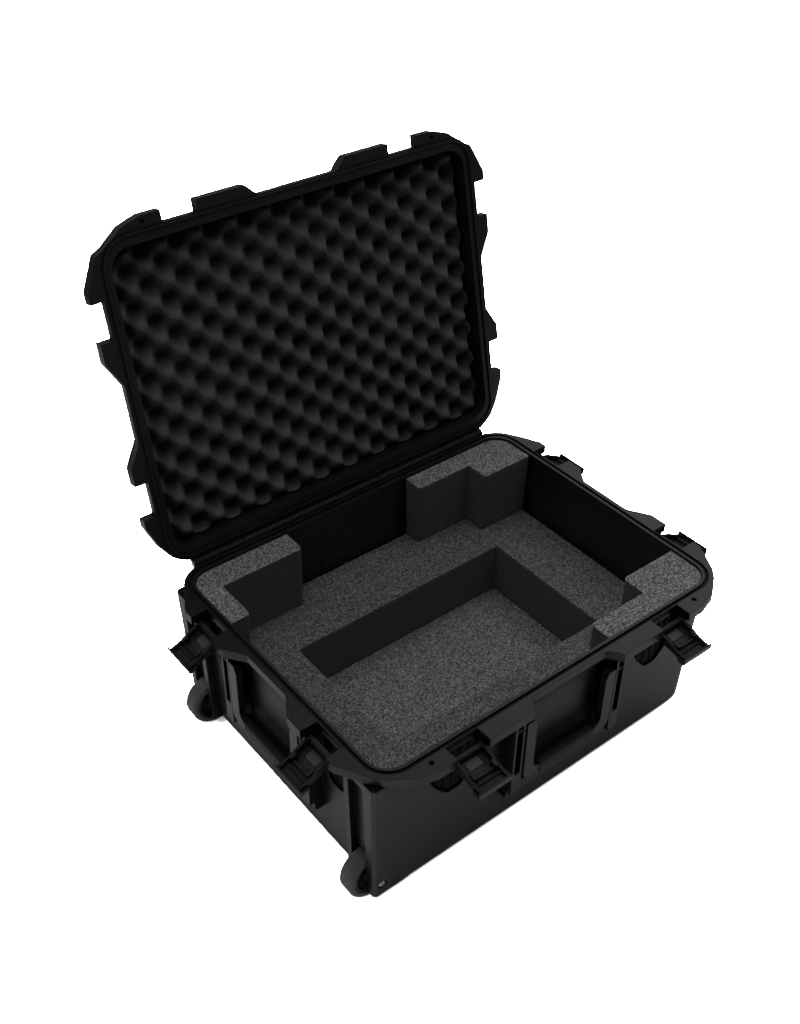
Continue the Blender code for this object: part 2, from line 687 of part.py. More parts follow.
def build_hinge_pin(base, lid):
    """The pin through all knuckles, and its bore in both shells."""
    bore = rods("hinge_pin_bore", [((-275, HINGE_Y, RIM), (275, HINGE_Y, RIM), HINGE_BORE_R)])
    boolean(base, bore)
    boolean(lid, bore)
    steel_pin("hinge_pin", (-259.5, HINGE_Y, RIM), (259.5, HINGE_Y, RIM), HINGE_PIN_R, 12)


# ---------------------------------------------------------------- latches
def build_latch(label, side, centre):
    """Drawn closed: x along the side, -y outward, z up, origin on the pivot."""
    place = side.turn @ Vector((centre, -(side.edge + PIVOT_OUT), RIM - PIVOT_DOWN))
    axis = pivot("latch_axis_" + label, place,
                 side.turn @ Matrix.Rotation(radians(side.latch_open), 4, 'X'))
    w = LATCH_HALF
    wide = w + 4.0   # half width at the free end
    plate = [(-w, -3.5), (w, -3.5), (w, 37.0), (wide, 43.0), (wide, 53.0),
             (-wide, 53.0), (-wide, 43.0), (-w, 37.0)]
    lever = outline("latch_" + label, plate, 3.0, 6.4, NYLON, UPRIGHT)
    lever.parent = axis

    # Side rails (y, z), deep at the barrel and tapering to the lip.
    rail = [(-6.0, -3.0), (5.2, -3.0), (5.2, 16.0), (2.0, 32.0), (0.2, 49.4), (-6.0, 49.4)]
    rails = [extruded(rail, X_AXIS, x0, x1)
             for x0, x1 in ((-w + 0.02, -w + 3.6), (w - 3.6, w - 0.02))]
    # Two claws that hook over the lid's flange.
    claws = [(-w + 3.9, -w + 8.0, -5.0, 5.0, 24.0, 33.4),
             (w - 8.0, w - 3.9, -5.0, 5.0, 24.0, 33.4)]
    # Two cross ridges, and the lip at the free end.
    ridges = [(-w + 0.3, w - 0.3, -5.0, 0.8, 30.6, 32.8),
              (-w + 0.3, w - 0.3, -5.0, -0.6, 38.0, 39.6),
              (-w - 3.7, w + 3.7, -5.0, 3.2, 50.1, 52.7)]
    tools = [
        (prisms("latch_arms_" + label, rails), 'UNION'),
        (rods("latch_barrel_" + label, [((-w + 1, 0, 0), (w - 1, 0, 0), 4.6)]), 'UNION'),
        (boxes("latch_claws_" + label, claws), 'UNION'),
        (boxes("latch_ridges_" + label, ridges), 'UNION'),
        (boxes("latch_window_" + label, [(-11.5, 11.5, -9.0, 0.0, 5.2, 20.5)]), 'DIFFERENCE'),
        (rods("latch_bore_" + label, [((-40, 0, 0), (40, 0, 0), 2.0)], 8), 'DIFFERENCE'),
    ]
    for tool, operation in tools:
        tool.parent = axis
        boolean(lever, tool, operation)

    button = boxes("latch_button_" + label, [(-11.1, 11.1, -6.9, -3.2, 5.6, 20.1)], BUTTON)
    bevel = button.modifiers.new("edges", 'BEVEL')
    bevel.width = 0.8 * MM
    bevel.segments = 1
    button.parent = axis
    steel_pin("latch_pin_" + label, (-28, 0, 0), (28, 0, 0), 1.6, 8).parent = axis


# ---------------------------------------------------------------- carry handles
def handle_outline():
    """U shape folded down: two arms, and a bar across their lower ends."""
    # (x, y) on the +x half, top to bottom
    outer = [(ARM_OUT, 7), (ARM_OUT, -85), (ARM_OUT - 3.5, -92.5), (ARM_OUT - 11, -97),
             (50, -97)]
    inner = [(ARM_IN + 5, 7), (ARM_IN, -4), (ARM_IN, -74), (ARM_IN - 3, -81),
             (ARM_IN - 10, -84.5)]
    return (outer + [(-x, y) for x, y in reversed(outer)]
            + [(-x, y) for x, y in inner] + inner[::-1])


def build_handle(word, side):
    place = side.turn @ Vector((0, -(side.wall + HANDLE_OUT), HANDLE_Z))
    axis = pivot("handle_axis_" + word, place, side.turn)
    bow = outline("handle_" + word, handle_outline(), -4.6, 4.6, NYLON, UPRIGHT)
    # The bar is thinned on both faces where the grip goes round it.
    thin = boxes("handle_thin_" + word, [(-49, 49, -9, -3.4, -110, -70),
                                         (-49, 49, 3.4, 9, -110, -70)])
    boolean(bow, thin)
    bore = rods("handle_bore_" + word, [((-90, 0, 0), (90, 0, 0), HANDLE_BORE_R)], 10)
    boolean(bow, bore)

    # Soft grip, with its own hollow for the bar.
    points = [(-46.5, -81), (46.5, -81), (48.6, -83), (48.6, -98.5),
              (46.5, -100.5), (-46.5, -100.5), (-48.6, -98.5), (-48.6, -83)]
    grip = outline("handle_grip_" + word, points, -6.2, 6.2, SOFT_GRIP, UPRIGHT)
    hollow = boxes("handle_grip_hollow_" + word, [(-60, 60, -3.8, 3.8, -97.4, -84.1)])
    boolean(grip, hollow)
    for obj in (bow, bore, thin, grip, hollow):
        obj.parent = axis
    for sign, letter in ((-1, "a"), (1, "b")):
        pin = steel_pin("handle_pin_%s_%s" % (word, letter),
                        (sign * 62, 0, 0), (sign * 90.5, 0, 0), 3.0, 10)
        pin.parent = axis


# ---------------------------------------------------------------- wheels
def build_wheel(word, sign):
    """Tyre, hub and axle bolt; profiles are (radius, distance outward from the wheel centre)."""
    half, r = WHEEL_W / 2, WHEEL_R
    place = (Matrix.Translation(Vector((WHEEL_X, sign * WHEEL_Y, WHEEL_Z)) * MM)
             @ Matrix.Rotation(radians(-90 * sign), 4, 'X'))
    lathe("wheel_tyre_" + word, [
        (28.0, half), (r - 5, half), (r - 1.2, half - 3.5), (r, half - 8),
        (r, -half + 8), (r - 1.2, -half + 3.5), (r - 5, -half), (28.0, -half)],
        28, TYRE, place)
    lathe("wheel_hub_" + word, [
        (4.6, half), (11, half), (12.5, half - 3), (22, half - 4), (24, half - 1),
        (27.7, half - 1), (27.7, -half + 1), (24, -half + 1), (22, -half + 4),
        (12.5, -half + 3), (11, -half), (4.6, -half)], 24, NYLON, place)
    # The bolt's head sits in the counterbore of the outer wall.
    lathe("wheel_axle_" + word, [
        (0, 26.0), (3.4, 26.0), (5.6, 24.5), (5.6, 23.5), (4.0, 23.5), (4.0, -20.0),
        (0, -20.0)], 16, STEEL, place)


# ---------------------------------------------------------------- trolley handle under the floor
def build_trolley_housing():
    housing = boxes("trolley_housing", [(-205, 272, -120, 120, 1.2, FLOOR - GAP)], SHELL)
    boolean(housing, boxes("housing_pad", [(-32, 32, -32, 32, 0.0, 3.0)]), 'UNION')
    half = TUBE_Y + 12
    boolean(housing, boxes("housing_hollow", [(-201, 300, -half, half, 4.2, 30)]))
    boolean(housing, rods("housing_screw_holes", [((x, y, -5), (x, y, 30), HOUSING_BORE_R)
                                                  for x, y in HOUSING_SCREWS], 8))
    boolean(housing, rods("housing_screw_heads", [((x, y, -5), (x, y, 5.4), 4.7)
                                                  for x, y in HOUSING_SCREWS]))
    for index, (x, y) in enumerate(HOUSING_SCREWS):
        lathe("housing_screw_%d" % (index + 1), [
            (0, 21.0), (2.0, 21.0), (2.0, 5.0), (4.2, 5.0), (4.2, 2.6), (3.2, 1.9), (0, 1.9)],
            10, STEEL, Matrix.Translation((x * MM, y * MM, 0)))


def tube_box(sign, x0, x1, half, low, high):
    """A box centred across one of the trolley tubes."""
    return (x0, x1, sign * TUBE_Y - half, sign * TUBE_Y + half, low, high)


def build_trolley_handle():
    for sign, word in MIRRORED:
        tube = boxes("trolley_tube_" + word, [tube_box(sign, -198, 268, 11, 4.6, 16.3)],
                     ALUMINIUM)
        boolean(tube, boxes("tube_bore_" + word, [tube_box(sign, -230, 290, 9.4, 6.2, 14.7)]))
        boxes("trolley_rod_" + word, [tube_box(sign, -190, 290, 9.0, 6.6, 14.3)], ALUMINIUM)

    # half x, half y, corner radius, z
    stations = [(9.0, 116, 5, 3.0), (10.5, 117.5, 6, 5.0),
                (10.5, 117.5, 6, 26.0), (8.5, 115.5, 5, 29.0)]
    grip = loft("trolley_grip", [
        (rounded(half_x, half_y, radius, steps=3, centre_x=GRIP_X), z)
        for half_x, half_y, radius, z in stations], SOFT_GRIP)
    boolean(grip, boxes("grip_sockets", [tube_box(sign, 270, 290.3, 9.3, 6.3, 14.6)
                                         for sign in (-1, 1)]))
    boolean(grip, boxes("grip_button_pocket", [(297.0, 310, -22.4, 22.4, 10.6, 21.4)]))
    boxes("trolley_button", [(300.4, 304.2, -22, 22, 11.0, 21.0)], BUTTON)


# ---------------------------------------------------------------- pressure valve in the back wall
def build_valve():
    place = Matrix.Translation((VALVE_X * MM, VALVE_Y * MM, VALVE_Z * MM))
    lathe("pressure_valve", [
        (0, 9.5), (8, 9.5), (9.5, 8), (9.5, 4.4), (5.9, 4.4), (5.9, -4.4), (0, -4.4)],
        18, NYLON, place @ Matrix.Rotation(radians(-90), 4, 'X'))


# ---------------------------------------------------------------- the whole case
base_shell = build_base()
ring("base_gasket", CHANNEL, 4.2, RIM - 6.7, RIM - 3.0, RUBBER)
build_base_foam()
lid_shell = build_lid()
build_hinge_pin(base_shell, lid_shell)
for latch_label, latch_side, latch_centre in LATCHES:
    build_latch(latch_label, SIDES[latch_side], latch_centre)
for side_word, handle_side in SIDES.items():
    build_handle(side_word, handle_side)
for wheel_sign, wheel_word in MIRRORED:
    build_wheel(wheel_word, wheel_sign)
build_trolley_housing()
build_trolley_handle()
build_valve()

bpy.context.view_layer.update()
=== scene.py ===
# Wheeled hard case with its lid open, foam in the base and egg-crate foam in the lid. +Z is
# up, the front faces -Y and the left side faces -X.
import json
import bpy
import bmesh
import numpy as np
from math import radians, sin, cos, pi, sqrt
from mathutils import Vector, Matrix

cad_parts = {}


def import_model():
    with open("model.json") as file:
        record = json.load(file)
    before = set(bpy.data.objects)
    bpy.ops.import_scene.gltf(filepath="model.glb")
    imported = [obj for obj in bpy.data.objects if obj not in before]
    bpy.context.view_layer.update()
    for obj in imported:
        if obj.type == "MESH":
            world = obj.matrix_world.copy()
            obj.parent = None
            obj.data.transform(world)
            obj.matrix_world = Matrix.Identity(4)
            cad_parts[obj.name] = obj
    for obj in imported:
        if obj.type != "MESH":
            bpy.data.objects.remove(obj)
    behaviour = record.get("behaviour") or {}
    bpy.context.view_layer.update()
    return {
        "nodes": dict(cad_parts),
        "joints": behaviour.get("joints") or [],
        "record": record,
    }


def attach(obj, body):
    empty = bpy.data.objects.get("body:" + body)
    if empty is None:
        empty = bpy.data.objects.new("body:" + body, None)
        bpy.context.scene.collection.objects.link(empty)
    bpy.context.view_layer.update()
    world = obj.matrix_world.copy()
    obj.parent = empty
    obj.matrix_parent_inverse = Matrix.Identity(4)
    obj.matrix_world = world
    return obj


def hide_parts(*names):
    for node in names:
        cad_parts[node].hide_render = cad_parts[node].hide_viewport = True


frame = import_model()
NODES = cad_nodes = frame["nodes"]
JOINTS = {joint["name"]: joint for joint in frame["joints"]}
SLOT_OF = {part["node"]: part["material_slot"] for part in frame["record"]["subparts"]}
SCENE = bpy.context.scene
MM = 0.001

HINGE = JOINTS["lid_hinge"]
HINGE_AT = Vector(HINGE["pos_m"])
OPEN_ANGLE = -HINGE["range_deg"][0]
TO_OPEN = (Matrix.Translation(HINGE_AT) @ Matrix.Rotation(radians(-OPEN_ANGLE), 4, 'X')
           @ Matrix.Translation(-HINGE_AT))
RIM = HINGE_AT.z / MM       # height of the rim, mm
TOP = 297.0                 # height of the closed lid's top, mm


# ---------------------------------------------------------------- node helpers
class Tree:
    """Short calls for building the nodes of a material or a world."""

    def __init__(self, owner, output="ShaderNodeOutputMaterial"):
        owner.use_nodes = True
        self.owner = owner
        self.tree = owner.node_tree
        self.tree.nodes.clear()
        self.output = self.node(output)

    def node(self, kind, props=None, **inputs):
        """Node with its properties and inputs; underscores in input names stand for spaces."""
        node = self.tree.nodes.new(kind)
        for key, value in (props or {}).items():
            setattr(node, key, value)
        for key, value in inputs.items():
            self.put(node, key.replace("_", " "), value)
        return node

    def put(self, node, key, value):
        """Link or set one input, given by name or index."""
        socket = node.inputs[key]
        if isinstance(value, bpy.types.NodeSocket):
            self.tree.links.new(value, socket)
            return
        if socket.type == 'RGBA' and len(value) == 3:
            value = (*value, 1.0)
        socket.default_value = value

    def indexed(self, kind, props, inputs):
        """Node whose inputs are given as {index: value}."""
        node = self.node(kind, props)
        for key, value in inputs.items():
            self.put(node, key, value)
        return node

    def math(self, operation, first, second, clamp=False):
        return self.indexed("ShaderNodeMath", {"operation": operation, "use_clamp": clamp},
                            {0: first, 1: second}).outputs[0]

    def scaled(self, field, by):
        return self.math('MULTIPLY', field, by)

    def plus(self, start, field, amount):
        """start + field * amount"""
        return self.math('ADD', start, self.scaled(field, by=amount))

    def vector_math(self, operation, inputs):
        return self.indexed("ShaderNodeVectorMath", {"operation": operation},
                            inputs).outputs["Value"]

    def ramp(self, field, stops, interpolation='LINEAR'):
        """Colour ramp; each stop is a position and either a grey level or a colour."""
        node = self.node("ShaderNodeValToRGB")
        ramp = node.color_ramp
        ramp.interpolation = interpolation
        while len(ramp.elements) < len(stops):
            ramp.elements.new(0.5)
        for element, (position, tone) in zip(ramp.elements, stops):
            element.position = position
            element.color = (*tone, 1.0) if isinstance(tone, tuple) else (tone, tone, tone, 1.0)
        self.put(node, "Fac", field)
        return node.outputs[0]

    def rise(self, field, start, end):
        """0 below start, 1 above end."""
        return self.ramp(field, [(start, 0.0), (end, 1.0)])

    def mix(self, share, first, second):
        """Colour mix; a share of 0 gives the first."""
        return self.indexed("ShaderNodeMix", {"data_type": 'RGBA'},
                            {0: share, 6: first, 7: second}).outputs[2]

    def mix_shaders(self, share, first, second):
        return self.indexed("ShaderNodeMixShader", {},
                            {0: share, 1: first, 2: second}).outputs[0]

    def coords(self, scale=(1, 1, 1)):
        place = self.node("ShaderNodeTexCoord").outputs["Object"]
        return self.node("ShaderNodeMapping", Vector=place, Scale=scale).outputs[0]

    def noise(self, place, scale, detail=2.0, rough=0.5):
        return self.node("ShaderNodeTexNoise", Vector=place, Scale=scale, Detail=detail,
                         Roughness=rough).outputs[0]

    def voronoi(self, place, scale):
        return self.node("ShaderNodeTexVoronoi", Vector=place, Scale=scale).outputs

    def bump(self, height, strength, distance, **normal):
        return self.node("ShaderNodeBump", Height=height, Strength=strength, Distance=distance,
                         **normal).outputs[0]

    def rounded_normal(self, radius):
        return self.node("ShaderNodeBevel", {"samples": 4}, Radius=radius).outputs[0]

    def openness(self, samples, distance):
        """1 in the open, lower in pockets and corners."""
        return self.node("ShaderNodeAmbientOcclusion", {"samples": samples},
                         Distance=distance).outputs["AO"]

    def finish(self, shader):
        self.tree.links.new(shader, self.output.inputs[0])
        return self.owner

    def surface(self, **inputs):
        return self.finish(self.node("ShaderNodeBsdfPrincipled", **inputs).outputs[0])


def material_tree(name):
    return Tree(bpy.data.materials.new(name))


def tint(colour, factor):
    return tuple(c * factor for c in colour)


# ---------------------------------------------------------------- materials
def plastic(name, colour, rough, grain, grain_depth, wear, spec=0.5, deep=0.030):
    """Moulded black plastic: fine grain, slight gloss changes, edges rubbed a little lighter.

    grain is the noise scale, deep the reach in metres of the shadow in pockets."""
    tree = material_tree(name)
    place = tree.coords()
    fine = tree.noise(place, scale=grain, detail=2.0, rough=0.6)
    broad = tree.noise(place, scale=9.0, detail=3.0, rough=0.55)
    streak = tree.noise(tree.coords(scale=(1, 1, 0.12)), scale=60.0)
    base = tree.mix(tree.rise(broad, start=0.3, end=0.75), tint(colour, 0.85), tint(colour, 1.18))
    base = tree.mix(tree.scaled(streak, by=0.25), base, tint(colour, 1.35))
    gloss = tree.plus(rough - 0.07, broad, amount=0.10)
    gloss = tree.plus(gloss, tree.math('SUBTRACT', fine, 0.5), amount=0.12)

    # The rounded normal leaves the true one near an edge, so this is above 0 only there.
    rounded = tree.rounded_normal(radius=0.0012)
    true_normal = tree.node("ShaderNodeNewGeometry").outputs["Normal"]
    agreement = tree.vector_math('DOT_PRODUCT', {0: rounded, 1: true_normal})
    edge = tree.math('SUBTRACT', 1.0, agreement, clamp=True)
    patchy = tree.noise(place, scale=130.0, detail=3.0, rough=0.7)
    worn = tree.math('MULTIPLY', tree.rise(edge, start=0.02, end=0.25),
                     tree.rise(patchy, start=0.40, end=0.62))
    rubbed = tuple(min(1, c * 2.6 + 0.008) for c in colour)
    base = tree.mix(tree.scaled(worn, by=wear), base, rubbed)
    normal = tree.bump(fine, strength=0.5, distance=grain_depth, Normal=rounded)

    # Painted shade: pockets and corners get less colour and less gloss, darker than the lighting
    # alone makes them.
    unshaded_share = tree.math('POWER', tree.openness(samples=6, distance=deep), 1.6)
    base = tree.mix(unshaded_share, tint(colour, 0.35), base)
    return tree.surface(Base_Color=base, Roughness=gloss, Normal=normal,
                        Specular_IOR_Level=tree.scaled(unshaded_share, by=spec))


def cut_foam(name, top, side=(0.062, 0.062, 0.063)):
    """Closed-cell foam: cells speckle the level faces, upright faces are smoother."""
    tree = material_tree(name)
    place = tree.coords()
    true_normal = tree.node("ShaderNodeNewGeometry").outputs["Normal"]
    upright = tree.node("ShaderNodeSeparateXYZ", Vector=true_normal).outputs["Z"]
    absolute = tree.indexed("ShaderNodeMath", {"operation": 'ABSOLUTE'}, {0: upright}).outputs[0]
    level = tree.rise(absolute, start=0.45, end=0.8)
    cells = tree.voronoi(place, scale=600.0)
    small = tree.voronoi(place, scale=1300.0)
    speck = tree.noise(place, scale=640.0, rough=0.8)
    patch = tree.noise(place, scale=22.0, detail=3.0, rough=0.6)
    cell_tone = tree.node("ShaderNodeSeparateColor", Color=cells["Color"]).outputs[0]
    grain = tree.plus(tree.scaled(cell_tone, by=0.55), speck, amount=0.65)
    # Dark pits, the foam's own tone, and pale cell walls.
    tone = tree.ramp(grain, [(0.30, tint(top, 0.12)), (0.56, tint(top, 0.85)),
                             (0.90, tint(top, 2.7))])
    tone = tree.mix(tree.scaled(patch, by=0.35), tone, tint(top, 0.72))
    side_tone = tree.mix(tree.scaled(speck, by=0.35), side, tint(side, 0.7))
    bands = tree.noise(tree.coords(scale=(1, 1, 7)), scale=26.0)
    side_tone = tree.mix(tree.scaled(bands, by=0.4), side_tone, tint(side, 0.78))
    colour = tree.mix(level, side_tone, tone)
    height = tree.plus(cells["Distance"], small["Distance"], amount=0.6)
    strength = tree.plus(0.12, level, amount=0.6)
    normal = tree.bump(height, strength, distance=0.0007)
    return tree.surface(Base_Color=colour, Roughness=0.93, Normal=normal,
                        Specular_IOR_Level=0.18, Sheen_Weight=0.05, Sheen_Roughness=0.6)


def open_foam(name, colour):
    """Soft open-cell foam, fully matte, with tiny dark pores and painted shade in its valleys."""
    tree = material_tree(name)
    place = tree.coords()
    pores = tree.voronoi(place, scale=800.0)
    speck = tree.noise(place, scale=380.0, detail=3.0, rough=0.7)
    patch = tree.noise(place, scale=14.0)
    tone = tree.ramp(speck, [(0.30, tint(colour, 0.66)), (0.70, tint(colour, 1.25))])
    tone = tree.mix(tree.scaled(patch, by=0.4), tone, tint(colour, 0.75))
    height = tree.plus(pores["Distance"], speck, amount=0.5)
    normal = tree.bump(height, strength=0.45, distance=0.0006)
    # Painted shade: the valleys between the bumps are darkened by their depth, towards a tenth of
    # the foam's tone.
    unshaded_share = tree.rise(tree.openness(samples=8, distance=0.034), start=0.38, end=0.86)
    tone = tree.mix(unshaded_share, tint(colour, 0.10), tone)
    return tree.surface(Base_Color=tone, Roughness=0.97, Normal=normal,
                        Specular_IOR_Level=0.08, Sheen_Weight=0.08, Sheen_Roughness=0.5)


def rubber(name, colour, rough):
    """Rubber with cloudy tone and specks of dust."""
    tree = material_tree(name)
    place = tree.coords()
    fine = tree.noise(place, scale=900.0, rough=0.6)
    broad = tree.noise(place, scale=30.0, detail=3.0, rough=0.6)
    base = tree.mix(tree.rise(broad, start=0.3, end=0.7), tint(colour, 0.8), tint(colour, 1.4))
    specks = tree.noise(place, scale=210.0, detail=4.0, rough=0.7)
    dust = tree.scaled(tree.rise(specks, start=0.58, end=0.72), by=0.12)
    dust_colour = (0.06, 0.06, 0.058)
    base = tree.mix(dust, base, dust_colour)
    gloss = tree.plus(rough - 0.06, broad, amount=0.14)
    normal = tree.bump(fine, strength=0.45, distance=0.00008,
                       Normal=tree.rounded_normal(radius=0.0008))
    return tree.surface(Base_Color=base, Roughness=gloss, Normal=normal, Specular_IOR_Level=0.4)


def metal(name, colour, rough, stretch, grain=0.10):
    """Metal with fine lines drawn out along X by a small stretch scale."""
    tree = material_tree(name)
    lines = tree.noise(tree.coords(scale=stretch), scale=900.0, rough=0.6)
    broad = tree.noise(tree.coords(), scale=40.0, rough=0.6)
    base = tree.mix(tree.scaled(broad, by=0.5), colour, tint(colour, 0.72))
    gloss = tree.plus(rough - grain / 2, lines, amount=grain)
    normal = tree.bump(lines, strength=0.15, distance=0.00005,
                       Normal=tree.rounded_normal(radius=0.0006))
    return tree.surface(Base_Color=base, Metallic=1.0, Roughness=gloss, Normal=normal)


MATERIALS = {
    "shell": plastic("shell_plastic", colour=(0.0075, 0.0075, 0.0080), rough=0.40,
                     grain=620.0, grain_depth=0.00005, wear=0.35),
    "fittings": plastic("fitting_nylon", colour=(0.0095, 0.0095, 0.0100), rough=0.36,
                        grain=800.0, grain_depth=0.00004, wear=0.45, deep=0.012),
    # Painted shade: near-black, dull plastic for the sheets and fins in the hollows beside the
    # latches, standing in for the shade of a deep pocket.
    "pocket": plastic("pocket_painted_shade_plastic", colour=(0.0035, 0.0035, 0.0037), rough=0.62,
                      grain=620.0, grain_depth=0.00005, wear=0.0, spec=0.10),
    "buttons": plastic("button_nylon", colour=(0.026, 0.026, 0.028), rough=0.36,
                       grain=800.0, grain_depth=0.00004, wear=0.3, deep=0.008),
    "foam": cut_foam("cut_foam", top=(0.090, 0.090, 0.091)),
    "foam_pocket": cut_foam("cut_foam_pocket", top=(0.084, 0.084, 0.085)),
    # Painted shade: the tray foam is darker than the blocks to stand in for the shade it lies in
    # between the walls and blocks.
    "foam_tray": cut_foam("cut_foam_tray", top=(0.056, 0.056, 0.057)),
    "convoluted_foam": open_foam("egg_crate_foam", colour=(0.060, 0.060, 0.061)),
    "gasket": rubber("seal_rubber", colour=(0.004, 0.004, 0.004), rough=0.7),
    "soft_grip": rubber("grip_rubber", colour=(0.010, 0.010, 0.010), rough=0.55),
    "wheel_tyre": rubber("tread_polyurethane", colour=(0.090, 0.090, 0.091), rough=0.42),
    "black_steel": metal("blackened_steel", colour=(0.05, 0.05, 0.052), rough=0.38,
                         stretch=(0.05, 1, 1)),
    "steel": metal("stainless_steel", colour=(0.62, 0.62, 0.63), rough=0.30,
                   stretch=(0.05, 1, 1)),
    "anodised_aluminium": metal("black_anodised_aluminium", colour=(0.035, 0.035, 0.038),
                                rough=0.34, stretch=(0.04, 1, 1)),
}


def set_material(obj, name):
    obj.data.materials.clear()
    obj.data.materials.append(MATERIALS[name])


def paint(obj, slot):
    set_material(obj, slot)


# ---------------------------------------------------------------- shared modifiers
def geometry_group(name):
    """An empty geometry node group with its input and output nodes."""
    group = bpy.data.node_groups.new(name, 'GeometryNodeTree')
    for direction in ('INPUT', 'OUTPUT'):
        group.interface.new_socket("Geometry", in_out=direction,
                                   socket_type='NodeSocketGeometry')
    return group, group.nodes.new("NodeGroupInput"), group.nodes.new("NodeGroupOutput")


def tidy_group():
    """Drop stored normals and weld the split corners."""
    group, source, result = geometry_group("tidy_surface")
    remove = group.nodes.new("GeometryNodeRemoveAttribute")
    remove.inputs["Name"].default_value = "custom_normal"
    weld = group.nodes.new("GeometryNodeMergeByDistance")
    weld.inputs["Distance"].default_value = 0.00001
    link = group.links.new
    link(source.outputs[0], remove.inputs["Geometry"])
    link(remove.outputs[0], weld.inputs["Geometry"])
    link(weld.outputs[0], result.inputs[0])
    return group


def angle_group(degrees):
    """Shade smooth across edges that turn by less than the angle."""
    group, source, result = geometry_group("smooth_to_%d" % degrees)
    faces = group.nodes.new("GeometryNodeSetShadeSmooth")
    faces.domain = 'FACE'
    faces.inputs["Shade Smooth"].default_value = True
    edges = group.nodes.new("GeometryNodeSetShadeSmooth")
    edges.domain = 'EDGE'
    edge_angle = group.nodes.new("GeometryNodeInputMeshEdgeAngle")
    compare = group.nodes.new("FunctionNodeCompare")
    compare.data_type = 'FLOAT'
    compare.operation = 'LESS_THAN'
    compare.inputs[1].default_value = radians(degrees)
    link = group.links.new
    link(source.outputs[0], faces.inputs["Geometry"])
    link(faces.outputs[0], edges.inputs["Geometry"])
    link(edge_angle.outputs["Unsigned Angle"], compare.inputs[0])
    link(compare.outputs[0], edges.inputs["Shade Smooth"])
    link(edges.outputs[0], result.inputs[0])
    return group


TIDY = tidy_group()
SMOOTH = angle_group(34)
SMOOTH_WIDE = angle_group(55)


def add_group(obj, name, group):
    obj.modifiers.new(name, 'NODES').node_group = group


def finish_surface(obj, width, segments, planar):
    """Weld, merge coplanar triangles, round the edges, then shade by angle."""
    add_group(obj, "tidy", TIDY)
    if planar:
        merge = obj.modifiers.new("planar", 'DECIMATE')
        merge.decimate_type = 'DISSOLVE'
        merge.angle_limit = radians(0.6)
    if width:
        bevel = obj.modifiers.new("edges", 'BEVEL')
        bevel.width = width
        bevel.segments = segments
        bevel.limit_method = 'ANGLE'
        bevel.angle_limit = radians(30)
        bevel.use_clamp_overlap = True
        bevel.miter_outer = 'MITER_ARC'
        bevel.harden_normals = False
    add_group(obj, "shade", SMOOTH)
    obj.modifiers.new("normals", 'WEIGHTED_NORMAL').keep_sharp = True


# Name prefix, bevel width (m), bevel segments, merge coplanar triangles; first match counts.
# On the latches, merging coplanar triangles lets the bevel tear the window and the pin bore.
ROUNDING = (
    ("latch_button", 0.0006, 2, True),
    ("trolley_button", 0.0006, 2, True),
    ("latch_pin", 0.0, 0, True),
    ("handle_pin", 0.0, 0, True),
    ("latch_", 0.0005, 2, False),
    ("handle_grip", 0.0028, 3, True),
    ("handle_", 0.0018, 3, True),
    ("", 0.0, 0, True),
)

for node_name, obj in NODES.items():
    paint(obj, SLOT_OF[node_name])
    if node_name.startswith(("handle_pin", "latch_pin")):
        set_material(obj, "black_steel")
    finish_surface(obj, *next(row[1:] for row in ROUNDING if node_name.startswith(row[0])))


# ---------------------------------------------------------------- building helpers
def add_piece(name, shape, body, slot, placement=None, shading=None, look=None, replaces=None):
    """Scale a shape drawn in mm, place it, and make it a painted object riding on a body."""
    shape.transform(Matrix.Scale(MM, 4))
    if placement is not None:
        shape.transform(placement)
    mesh = bpy.data.meshes.new(name)
    shape.to_mesh(mesh)
    shape.free()
    obj = bpy.data.objects.new(name, mesh)
    SCENE.collection.objects.link(obj)
    if shading:
        mesh.shade_smooth()
    paint(obj, slot)
    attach(obj, body)
    if look:
        set_material(obj, look)
    if shading:
        add_group(obj, "shade", shading)
    if replaces:
        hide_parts(replaces)


def band(shape, first, second, across_first=False):
    """Quads between two closed loops; across_first winds them the other way."""
    for i in range(len(first)):
        j = (i + 1) % len(first)
        if across_first:
            shape.faces.new((first[i], second[i], second[j], first[j]))
        else:
            shape.faces.new((first[i], first[j], second[j], second[i]))


def face_outwards(shape):
    bmesh.ops.recalc_face_normals(shape, faces=shape.faces[:])


# ---------------------------------------------------------------- egg-crate foam in the lid
EGG_HALF_X, EGG_HALF_Y, EGG_CORNER = 273.4, 202.9, 24.0
EGG_STEP = 2.35                         # mesh spacing
EGG_X, EGG_Y = -226.8, -3.9             # a point where the lattice has a valley
EGG_PITCH_X, EGG_PITCH_Y = 51.0, 48.0
EGG_PEAK, EGG_VALLEY = RIM + 9.4, RIM + 35.0
EGG_LOWEST, EGG_HIGHEST = RIM + 8.6, TOP - 14.0
EGG_BACK = TOP - 12.5
EGG_SIDE_TAPER = 0.004                  # how much smaller the back is than the face


def inside_rounded(x, y, half_x, half_y, corner):
    """Pulls points outside a rounded rectangle back onto it."""
    x = np.clip(x, -half_x, half_x)
    y = np.clip(y, -half_y, half_y)
    centre_x = np.clip(x, -half_x + corner, half_x - corner)
    centre_y = np.clip(y, -half_y + corner, half_y - corner)
    dx, dy = x - centre_x, y - centre_y
    reach = np.hypot(dx, dy)
    pull = np.where(reach > corner, corner / np.maximum(reach, 1e-9), 1.0)
    return centre_x + dx * pull, centre_y + dy * pull


